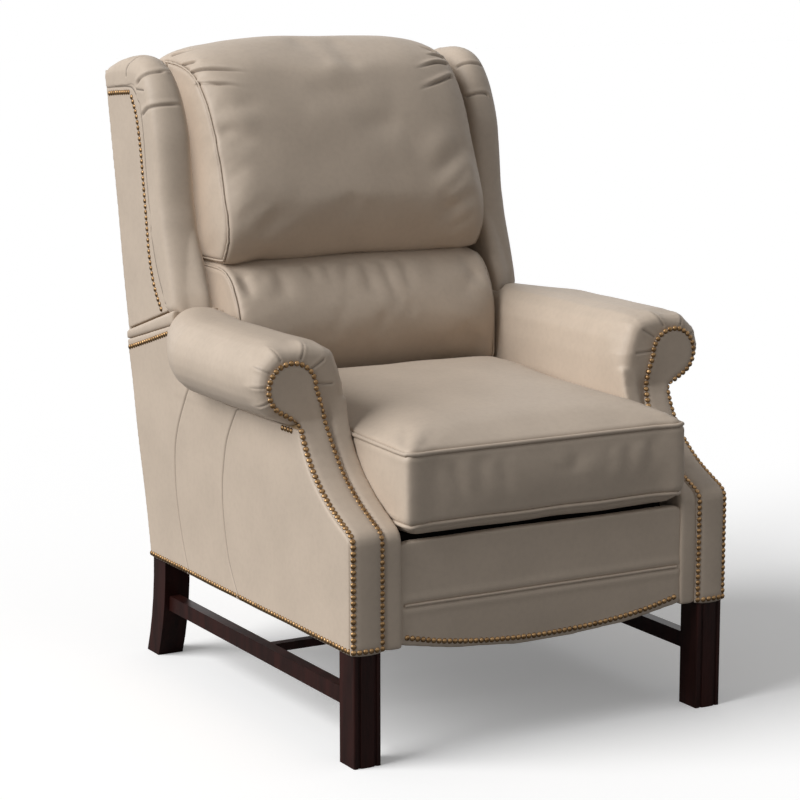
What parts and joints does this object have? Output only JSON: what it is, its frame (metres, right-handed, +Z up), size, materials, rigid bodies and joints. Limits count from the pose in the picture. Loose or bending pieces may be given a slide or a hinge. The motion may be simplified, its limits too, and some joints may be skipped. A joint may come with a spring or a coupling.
{
  "type": "wingback recliner",
  "caption": "High-leg wingback recliner with rolled scroll arms, loose pillows, a back that reclines as the seat glides forward, and a footrest that folds out.",
  "frame": {"origin": "on the floor under the centre of the closed, upright chair's bounding box", "axes": "+X to the right seen from the front, -Y out of the front where the footrest opens, +Z up"},
  "size_m": [0.848, 0.9504, 1.0881],
  "materials": {
    "leather": "satin",
    "show_wood": "satin lacquer",
    "frame_timber": "sawn",
    "steel": "satin black"
  },
  "bodies": {
    "base": {"front_leg_right": "show_wood", "front_leg_left": "show_wood", "rear_leg_right": "show_wood", "rear_leg_left": "show_wood", "side_stretcher_right": "show_wood", "side_stretcher_left": "show_wood", "cross_stretcher": "show_wood", "arm_post_right": "frame_timber", "arm_post_left": "frame_timber", "arm_rail_right": "frame_timber", "arm_rail_left": "frame_timber", "rear_post_right": "frame_timber", "rear_post_left": "frame_timber", "side_rail_right": "frame_timber", "side_rail_left": "frame_timber", "front_cross_rail": "frame_timber", "rear_cross_rail": "frame_timber", "arm_pad_right": "leather", "arm_pad_left": "leather", "arm_front_panel_right": "leather", "arm_front_panel_left": "leather", "side_panel_right": "leather", "side_panel_left": "leather", "side_top_roll_right": "leather", "side_top_roll_left": "leather", "rear_side_panel_right": "leather", "rear_side_panel_left": "leather", "rear_panel": "leather", "mechanism_rail_right": "steel", "mechanism_rail_left": "steel"},
    "front_swing": {"front_swing_frame": "steel"},
    "rear_swing": {"rear_swing_frame": "steel"},
    "seat": {"seat_frame": "frame_timber", "seat_plate_right": "steel", "seat_plate_left": "steel", "seat_spring_1": "steel", "seat_spring_2": "steel", "seat_spring_3": "steel", "seat_spring_4": "steel", "seat_cushion": "leather"},
    "back": {"back_frame": "frame_timber", "back_plate_right": "steel", "back_plate_left": "steel", "wing_pad_right": "leather", "wing_pad_left": "leather", "wing_board_right": "frame_timber", "wing_board_left": "frame_timber", "wing_panel_right": "leather", "wing_panel_left": "leather", "outside_back": "leather", "head_pillow": "leather", "lumbar_pillow": "leather"},
    "footrest_drive": {"footrest_drive_frame": "steel"},
    "footrest_links": {"footrest_front_link_right": "steel", "footrest_front_link_left": "steel"},
    "footrest": {"footrest_pad": "leather", "footrest_board": "frame_timber", "footrest_bracket_right": "steel", "footrest_bracket_left": "steel"}
  },
  "joints": [
    {"name": "back_recline", "type": "hinge", "parent": "base", "child": "back", "pos_m": [0, 0.28875, 0.33], "axis": [-1, 0, 0], "range_deg": [0, 32]},
    {"name": "front_swing_turn", "type": "hinge", "parent": "base", "child": "front_swing", "pos_m": [0, -0.21125, 0.264], "axis": [1, 0, 0], "range_deg": [0, 75]},
    {"name": "rear_swing_turn", "type": "hinge", "parent": "base", "child": "rear_swing", "pos_m": [0, 0.01875, 0.264], "axis": [1, 0, 0], "range_deg": [0, 75]},
    {"name": "seat_level", "type": "hinge", "parent": "rear_swing", "child": "seat", "pos_m": [0, 0.05475, 0.3069], "axis": [-1, 0, 0], "range_deg": [0, 75]},
    {"name": "footrest_open", "type": "hinge", "parent": "seat", "child": "footrest_drive", "pos_m": [0, -0.39525, 0.303], "axis": [-1, 0, 0], "range_deg": [0, 136]},
    {"name": "footrest_link_turn", "type": "hinge", "parent": "footrest_drive", "child": "footrest_links", "pos_m": [0, -0.27125, 0.204], "axis": [1, 0, 0], "range_deg": [0, 116.3]},
    {"name": "footrest_tilt", "type": "hinge", "parent": "footrest_links", "child": "footrest", "pos_m": [0, -0.41425, 0.282], "axis": [-1, 0, 0], "range_deg": [0, 70.3]}
  ],
  "couplings": [
    {"joint": "front_swing_turn", "follows": "back_recline", "ratio": 2.343},
    {"joint": "rear_swing_turn", "follows": "back_recline", "ratio": 2.343},
    {"joint": "seat_level", "follows": "back_recline", "ratio": 2.343},
    {"joint": "footrest_link_turn", "follows": "footrest_open", "ratio": 0.85409},
    {"joint": "footrest_tilt", "follows": "footrest_open", "ratio": 0.51583}
  ]
}
